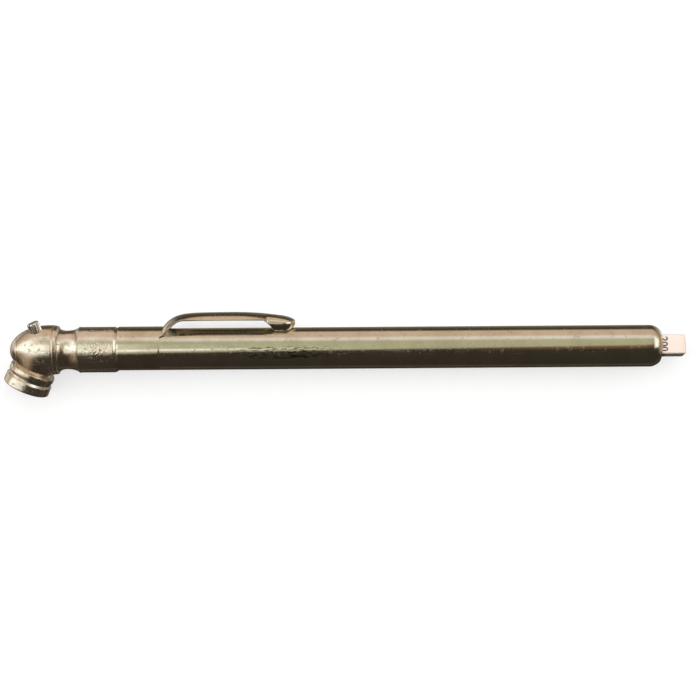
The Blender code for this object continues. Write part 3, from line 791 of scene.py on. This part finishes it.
class Paint(NodeTree):
    """A material, with places on the gauge in millimetres."""

    def __init__(self, name, metallic, roughness):
        self.material = bpy.data.materials.new(name)
        self.material.use_nodes = True
        super().__init__(self.material.node_tree)
        self.shader = self.nodes["Principled BSDF"]
        self.shader.inputs["Metallic"].default_value = metallic
        self.shader.inputs["Roughness"].default_value = roughness
        self.place = self.scaled(self.add("TexCoord", {}, "Object"), (1000, 1000, 1000))

    def scaled(self, vector, factors):
        return self.add("VectorMath", {0: vector, 1: factors}, operation="MULTIPLY")

    def noise(self, size, stretch=(1, 1, 1), detail=3.0, rough=0.5):
        """Noise from 0 to 1 with patches of about this size in millimetres."""
        vector = self.scaled(self.place, stretch)
        inputs = {"Vector": vector, "Scale": 1 / size, "Detail": detail, "Roughness": rough}
        return self.add("TexNoise", inputs, "Fac")

    def specks(self, cell, size, share):
        """1 inside small round specks, in a share of cells of this size in millimetres."""
        inputs = {"Vector": self.place, "Scale": 1 / cell, "Randomness": 1.0}
        cells = self.add("TexVoronoi", inputs).node.outputs
        inside = self.ranged(cells["Distance"], size / cell, size / cell * 0.4)
        chosen = self.math("LESS_THAN", self.add("SeparateColor", {0: cells["Color"]}), share)
        return self.math("MULTIPLY", inside, chosen)

    def relief(self, height, distance, normal=None):
        """A normal that is tilted as if the height, 0 to 1, rose by this distance."""
        inputs = {"Height": height, "Distance": distance, "Strength": 1.0}
        if normal:
            inputs["Normal"] = normal
        return self.add("Bump", inputs)

    def finish(self, colour, roughness=None, normal=None):
        self.set(self.shader.inputs["Base Color"], colour)
        if roughness:
            self.set(self.shader.inputs["Roughness"], roughness)
        if normal:
            self.set(self.shader.inputs["Normal"], normal)
        return self.material


def rgb(red, green, blue):
    return (red, green, blue, 1.0)


# Noise stretched into lines
ROUND_THE_TUBE = (1.0, 0.06, 0.06)
ALONG_THE_TUBE = (0.04, 1.0, 1.0)

GRIME = rgb(0.24, 0.17, 0.1)
PIT = rgb(0.06, 0.045, 0.03)


def plated(name, bright, stained, gloss, marks):
    """Warm nickel plating: cloudy tone, polishing lines round the tube, scuffs along it, specks."""
    paint = Paint(name, 1.0, gloss)
    cloud = paint.ranged(paint.noise(5.0, detail=5.0), 0.35, 0.7)
    grime = paint.ranged(paint.noise(0.9, detail=4.0), 0.56, 0.72)
    lines = paint.noise(0.16, ROUND_THE_TUBE, detail=4.0, rough=0.7)
    scuffs = paint.ranged(paint.noise(0.35, ALONG_THE_TUBE, detail=2.0), 0.62, 0.7)
    pits = paint.specks(1.7, 0.14, 0.35)
    colour = paint.mix(cloud, bright, stained)
    colour = paint.mix(paint.math("MULTIPLY", grime, 0.35 * marks), colour, GRIME)
    colour = paint.mix(paint.math("MULTIPLY", pits, 0.8), colour, PIT)
    rough = paint.ranged(lines, 0.3, 0.8, gloss * 0.75, gloss * 1.5)
    rough = paint.math("ADD", rough, paint.math("MULTIPLY", grime, 0.22 * marks))
    rough = paint.math("ADD", rough, paint.math("MULTIPLY", scuffs, 0.12 * marks))
    normal = paint.relief(lines, 0.0016 * MM * marks)
    normal = paint.relief(paint.noise(3.0, detail=2.0), 0.006 * MM * marks, normal)
    normal = paint.relief(pits, -0.03 * MM, normal)
    return paint, colour, rough, normal


def plated_tube():
    """Plating with rubbed streaks on the upper side, where the clip's end has slid round."""
    paint, colour, rough, normal = plated(
        "tube_plating", rgb(0.74, 0.68, 0.56), rgb(0.66, 0.60, 0.48), 0.13, 0.8
    )
    parts = paint.add("SeparateXYZ", {0: paint.place}).node.outputs
    rubbed = paint.ranged(parts["X"], -30, -18)
    rubbed = paint.math("MULTIPLY", rubbed, paint.ranged(parts["X"], -1, -7))
    height = (ORIGIN.z + TUBE_RADIUS) / MM
    rubbed = paint.math("MULTIPLY", rubbed, paint.ranged(parts["Z"], height - 0.3, height - 0.1))
    streaks = paint.ranged(paint.noise(0.5, (0.3, 1.4, 1.0), detail=3.0), 0.5, 0.6)
    colour = paint.mix(paint.math("MULTIPLY", streaks, rubbed), colour, rgb(0.2, 0.16, 0.11))
    return paint.finish(colour, rough, normal)


def evenly_plated(*settings):
    """The plating as it is, with nothing painted over it."""
    paint, colour, rough, normal = plated(*settings)
    return paint.finish(colour, rough, normal)


def plated_head():
    """As the tube, redder and coarser, with turning lines round the chuck's own axis."""
    paint, colour, rough, normal = plated(
        "head_plating", rgb(0.84, 0.77, 0.66), rgb(0.72, 0.60, 0.48), 0.2, 1.5
    )
    chuck_axis = CHUCK.to_3x3() @ Vector((0, 0, 1))
    crossing = CHUCK.translation.dot(chuck_axis) / MM
    inputs = {0: paint.place, 1: tuple(chuck_axis)}
    along_axis = paint.add("VectorMath", inputs, "Value", operation="DOT_PRODUCT")
    station = paint.math("SUBTRACT", along_axis, crossing)
    on_chuck = paint.ranged(station, 4.4, 5.2)
    line_spacing = 0.28  # millimetres
    turning = paint.math("SINE", paint.math("MULTIPLY", station, 2 * math.pi / line_spacing))
    turning = paint.math("MULTIPLY", turning, on_chuck)
    normal = paint.relief(turning, 0.004 * MM, normal)
    casting = paint.noise(0.45, detail=4.0, rough=0.6)
    normal = paint.relief(casting, 0.012 * MM, normal)
    return paint.finish(colour, rough, normal)


def turned_metal(name, bright, dull, gloss):
    """Machined brass or steel, with fine turning lines and a cloudy tarnish."""
    paint = Paint(name, 1.0, gloss)
    cloud = paint.ranged(paint.noise(2.2, detail=5.0), 0.35, 0.68)
    lines = paint.noise(0.12, ROUND_THE_TUBE, detail=3.0)
    spots = paint.specks(1.1, 0.12, 0.3)
    colour = paint.mix(cloud, bright, dull)
    colour = paint.mix(paint.math("MULTIPLY", spots, 0.6), colour, rgb(0.08, 0.05, 0.03))
    rough = paint.ranged(lines, 0.25, 0.8, gloss * 0.7, gloss * 1.5)
    return paint.finish(colour, rough, paint.relief(lines, 0.004 * MM))


def rubber(name, tone):
    """Moulded rubber: matt, faintly mottled, with a dusty bloom in places."""
    paint = Paint(name, 0.0, 0.75)
    bloom = paint.ranged(paint.noise(1.6, detail=5.0), 0.45, 0.75)
    grain = paint.noise(0.12, detail=3.0)
    dusty = [value * 2.4 + 0.01 for value in tone]
    colour = paint.mix(bloom, rgb(*tone), rgb(*dusty))
    rough = paint.ranged(grain, 0.3, 0.7, 0.6, 0.85)
    return paint.finish(colour, rough, paint.relief(grain, 0.01 * MM))


def ivory_nylon():
    """Moulded nylon, yellowed a little, with drag lines along the bar and grey handling marks."""
    paint = Paint("ivory_nylon", 0.0, 0.4)
    tone = paint.ranged(paint.noise(7.0, detail=3.0), 0.35, 0.7)
    drag = paint.noise(0.22, ALONG_THE_TUBE, detail=3.0)
    smudge = paint.ranged(paint.noise(1.3, detail=4.0), 0.58, 0.75)
    colour = paint.mix(tone, rgb(0.78, 0.66, 0.58), rgb(0.72, 0.59, 0.50))
    colour = paint.mix(paint.math("MULTIPLY", smudge, 0.25), colour, rgb(0.5, 0.42, 0.35))
    rough = paint.ranged(drag, 0.3, 0.7, 0.32, 0.5)
    paint.shader.inputs["Subsurface Weight"].default_value = 0.15
    paint.shader.inputs["Subsurface Radius"].default_value = (1.2 * MM, 0.8 * MM, 0.5 * MM)
    paint.shader.inputs["Subsurface Scale"].default_value = 0.5
    return paint.finish(colour, rough, paint.relief(drag, 0.005 * MM))


def scale_ink():
    """Dark print, worn thin where it rubs in the guide."""
    paint = Paint("scale_ink", 0.0, 0.5)
    worn = paint.ranged(paint.noise(0.35, detail=4.0), 0.6, 0.72)
    tone = paint.ranged(paint.noise(0.9, detail=2.0), 0.3, 0.7)
    colour = paint.mix(tone, rgb(0.035, 0.02, 0.016), rgb(0.07, 0.045, 0.035))
    colour = paint.mix(paint.math("MULTIPLY", worn, 0.7), colour, rgb(0.55, 0.45, 0.38))
    rough = paint.ranged(worn, 0.0, 1.0, 0.45, 0.6)
    return paint.finish(colour, rough)


# ---- studio ----

WHITE = rgb(1, 1, 1)
DARK = rgb(0.045, 0.038, 0.031)
DEEP_SHADE = rgb(0.03, 0.025, 0.02)
OLIVE = rgb(0.54, 0.545, 0.39)
CREAM = rgb(0.92, 0.91, 0.89)
TAN = rgb(0.74, 0.59, 0.48)
EMBER = rgb(0.2, 0.095, 0.05)
WINDOW = rgb(1.45, 1.53, 1.5)
GROUND = rgb(0.3, 0.28, 0.25)
GROUND_AT_ENDS = rgb(0.5, 0.46, 0.4)
BEYOND_THE_TIP = rgb(0.4, 0.33, 0.25)
UNLIT = rgb(0.01, 0.009, 0.008)
DIMLY_LIT = rgb(0.3, 0.3, 0.3)
DAYLIGHT_STRENGTH = 2.5


def make_floor(low):
    """Pale paper under the gauge, which lights nothing and isn't seen in the metal."""
    shape = bmesh.new()
    bmesh.ops.create_grid(shape, x_segments=8, y_segments=8, size=2.0)
    floor = finished("floor", shape, Matrix.Translation((0, 0, low - 0.05 * MM)))
    paint = Paint("floor_paper", 0.0, 0.9)
    paint.shader.inputs["Specular IOR Level"].default_value = 0.0
    fibre = paint.ranged(paint.noise(3.0, detail=3.0), 0.3, 0.7)
    paper = paint.mix(fibre, rgb(0.35, 0.35, 0.345), rgb(0.37, 0.37, 0.365))
    paint.shader.inputs["Emission Color"].default_value = WHITE
    paint.shader.inputs["Emission Strength"].default_value = 0.65
    floor.data.materials.append(paint.finish(paper))
    floor.visible_glossy = False
    floor.visible_diffuse = False


class Room(NodeTree):
    """What lies in each direction: how far it points along the gauge, and its turn round it."""

    def __init__(self, tree):
        super().__init__(tree)
        parts = self.add("SeparateXYZ", {0: self.add("TexCoord", {}, "Generated")}).node.outputs
        self.along = parts["X"]
        self.turn = self.math("DEGREES", self.math("ARCTAN2", parts["Y"], parts["Z"]))

    def by_turn(self, turn, stops):
        """Colours between stops in degrees: 0 is straight up, 90 towards +Y."""
        ramp = self.nodes.new("ShaderNodeValToRGB")
        elements = ramp.color_ramp.elements
        while len(elements) > 1:
            elements.remove(elements[-1])
        placed = [((degrees + 180) / 360, colour) for degrees, colour in stops]
        elements[0].position, elements[0].color = placed[0]
        for position, colour in placed[1:]:
            elements.new(position).color = colour
        position = self.math("DIVIDE", self.math("ADD", turn, 180), 360)
        self.links.new(position, ramp.inputs[0])
        return ramp.outputs[0]

    def between(self, value, start, full, fade, end):
        """1 from full to fade, falling off to 0 at the start and the end."""
        return self.math("MULTIPLY", self.ranged(value, start, full), self.ranged(value, end, fade))


def metal_surroundings(room):
    """What the metal sees: panels above and on the clip's side, and shade on the other side."""
    # The panels hang 8 degrees further over beside the head
    panel_turn = room.math("SUBTRACT", room.turn, room.ranged(room.along, -0.12, -0.17, 0, 8))
    panels = room.by_turn(panel_turn, [
        (-70, OLIVE),
        (48, OLIVE),
        (60, CREAM),
        (68, CREAM),
        (78, TAN),
        (110, TAN),
        (121, DARK),
        (143, rgb(0.11, 0.095, 0.06)),
        (175, GROUND),
    ])
    shade = room.by_turn(room.turn, [
        (-175, GROUND),
        (-140, DEEP_SHADE),
        (-128, DEEP_SHADE),
        (-115, rgb(0.1, 0.085, 0.07)),
        (-102, rgb(0.04, 0.034, 0.028)),
        (0, DARK),
    ])

    # The panels' edge slants along the gauge, with a red glow in the shade next to it
    limited = room.math("MINIMUM", room.math("MAXIMUM", room.along, -0.2), 0.3)
    edge = room.math("ADD", room.math("MULTIPLY", limited, 82), 1)
    past_edge = room.math("SUBTRACT", room.turn, edge)
    ember = room.ranged(past_edge, -17, -12)
    ember = room.math("MULTIPLY", ember, room.ranged(room.along, 0.06, 0.14))
    shade = room.mix(ember, shade, EMBER)
    seen = room.mix(room.ranged(past_edge, -2, 3), shade, panels)

    # Bright windows: a strip along the edge and a softbox over the head
    strip = room.between(past_edge, 8, 13, 17, 22)
    strip = room.math("MULTIPLY", strip, room.ranged(room.along, -0.02, -0.1))
    softbox = room.between(room.turn, 6, 14, 34, 42)
    softbox = room.math("MULTIPLY", softbox, room.ranged(room.along, -0.14, -0.16))
    seen = room.mix(room.math("MAXIMUM", strip, softbox), seen, WINDOW)

    # Towards both ends the metal sees tall windows, with brown shade under them
    ends = room.by_turn(room.turn, [
        (-175, GROUND_AT_ENDS),
        (-140, rgb(0.05, 0.04, 0.03)),
        (-80, rgb(0.09, 0.07, 0.05)),
        (-62, rgb(0.3, 0.22, 0.15)),
        (-40, rgb(0.36, 0.26, 0.17)),
        (-14, rgb(0.46, 0.34, 0.24)),
        (8, WINDOW),
        (60, WINDOW),
        (80, TAN),
        (105, rgb(0.5, 0.4, 0.3)),
        (135, rgb(0.25, 0.2, 0.15)),
        (155, rgb(1.1, 1.05, 0.95)),
        (175, GROUND_AT_ENDS),
    ])
    above = room.ranged(room.turn, -12, 10)
    above = room.math("MAXIMUM", above, room.ranged(room.along, 0.0, -0.1))
    steepness = room.ranged(room.math("ABSOLUTE", room.along), 0.3, 0.75)
    seen = room.mix(room.math("MULTIPLY", steepness, above), seen, ends)
    return room.mix(room.ranged(room.along, 0.85, 0.97), seen, BEYOND_THE_TIP)


def make_world():
    """A white room for the camera; metal sees its surroundings, and soft light comes from +Y."""
    world = bpy.data.worlds.new("studio")
    bpy.context.scene.world = world
    world.use_nodes = True
    world.node_tree.nodes.clear()
    room = Room(world.node_tree)
    # Soft light on what isn't metal: from above and the clip's side, none from below
    daylight = room.by_turn(room.turn, [
        (-90, UNLIT),
        (-6, rgb(0.02, 0.018, 0.016)),
        (6, WHITE),
        (52, WHITE),
        (62, DIMLY_LIT),
        (88, DIMLY_LIT),
        (92, UNLIT),
    ])
    path = room.add("LightPath", {}).node.outputs
    colour = room.mix(path["Is Camera Ray"], metal_surroundings(room), WHITE)
    colour = room.mix(path["Is Diffuse Ray"], colour, daylight)
    strength = room.ranged(path["Is Diffuse Ray"], 0, 1, 1.0, DAYLIGHT_STRENGTH)
    background = room.add("Background", {"Color": colour, "Strength": strength})
    output = room.nodes.new("ShaderNodeOutputWorld")
    room.links.new(background, output.inputs[0])


def make_light():
    """A large soft light above the clip's side, which the metal doesn't show."""
    distance = 0.9
    data = bpy.data.lights.new("key", "AREA")
    data.size = 1.0
    data.energy = 1.5
    light = bpy.data.objects.new("key", data)
    light.visible_glossy = False
    direction = Vector((-0.15, 0.45, 0.9)).normalized()
    light.location = ORIGIN + direction * distance
    light.rotation_euler = direction.to_track_quat("Z", "Y").to_euler()
    bpy.context.scene.collection.objects.link(light)


def make_camera():
    """Nearly straight down, from a little to the clip's side, with the tube rising to the right."""
    lean = math.radians(12)
    roll = math.radians(-0.41)
    distance = 390 * MM
    frame_width = 159.6 * MM
    data = bpy.data.cameras.new("camera")
    data.sensor_width = 36
    data.lens = data.sensor_width * distance / frame_width
    data.clip_start = 0.01
    camera = bpy.data.objects.new("camera", data)
    target = ORIGIN + Vector((53.1 * MM, -0.5 * MM, 0))
    aim = Matrix.Rotation(-lean, 4, "X") @ Matrix.Rotation(roll, 4, "Z")
    camera.matrix_world = Matrix.Translation(target) @ aim @ Matrix.Translation((0, 0, distance))
    bpy.context.scene.collection.objects.link(camera)
    bpy.context.scene.camera = camera


# ---- the whole gauge ----

TUBE_PLATING = plated_tube()
CLIP_PLATING = evenly_plated(
    "clip_plating", rgb(0.76, 0.68, 0.55), rgb(0.64, 0.56, 0.44), 0.13, 0.7
)
HEAD_PLATING = plated_head()
PIN_PLATING = evenly_plated(
    "pin_plating", rgb(0.95, 0.92, 0.84), rgb(0.88, 0.8, 0.68), 0.2, 1.0
)
BRASS = turned_metal("turned_brass", rgb(0.78, 0.58, 0.28), rgb(0.55, 0.38, 0.18), 0.28)
STEEL = turned_metal("spring_wire", rgb(0.55, 0.55, 0.56), rgb(0.38, 0.38, 0.4), 0.3)
SEAL_RUBBER = rubber("seal_rubber", (0.016, 0.016, 0.017))
CUP_RUBBER = rubber("cup_rubber", (0.045, 0.034, 0.028))
IVORY = ivory_nylon()
INK = scale_ink()


def place(piece, body, material, slot, *nodes):
    """Gives a piece its material and body, and hides the CAD nodes that it stands for."""
    piece.data.materials.clear()
    piece.data.materials.append(material)
    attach(piece, body)
    if nodes:
        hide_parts(*nodes)


place(make_head(), "gauge", HEAD_PLATING, "plated_casting", "head")
place(make_pin(), "gauge", PIN_PLATING, "plated_casting", "deflator_pin")
place(make_seal(), "gauge", SEAL_RUBBER, "black_rubber", "chuck_seal")
place(make_tube(), "gauge", TUBE_PLATING, "plated_tube", "barrel")
place(make_bar(), "indicator", IVORY, "ivory_nylon", "indicator_bar")
for face in range(4):
    in_pounds = face % 2 == 0
    unit = "pounds" if in_pounds else "kilopascals"
    numbers = make_print(f"scale_print_{face}_{unit}", face, in_pounds)
    place(numbers, "indicator", INK, "ivory_nylon")

clip = make_clip()
clip.data.materials.append(CLIP_PLATING)
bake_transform(clip)
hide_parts("clip_band", "clip_arm")

spring = make_spring()
place(spring, "piston", STEEL, "spring_steel", "main_spring")
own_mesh(spring)

# The CAD's own meshes show these inner parts
CARRIED_OVER = {
    BRASS: [
        "seal_retainer",
        "valve_depressor",
        "bar_guide",
        "spring_seat",
        "piston_body",
        "cup_washer",
        "piston_screw",
        "bar_foot",
    ],
    STEEL: ["bar_brake", "piston_rod"],
    SEAL_RUBBER: ["head_gasket"],
    CUP_RUBBER: ["piston_cup"],
}
for material, names in CARRIED_OVER.items():
    for name in names:
        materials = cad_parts[name].data.materials
        materials.clear()
        materials.append(material)

make_floor(CAD_BOX[0].z)
make_world()
make_light()
make_camera()
bpy.context.scene.view_settings.view_transform = "Standard"

bpy.context.view_layer.update()
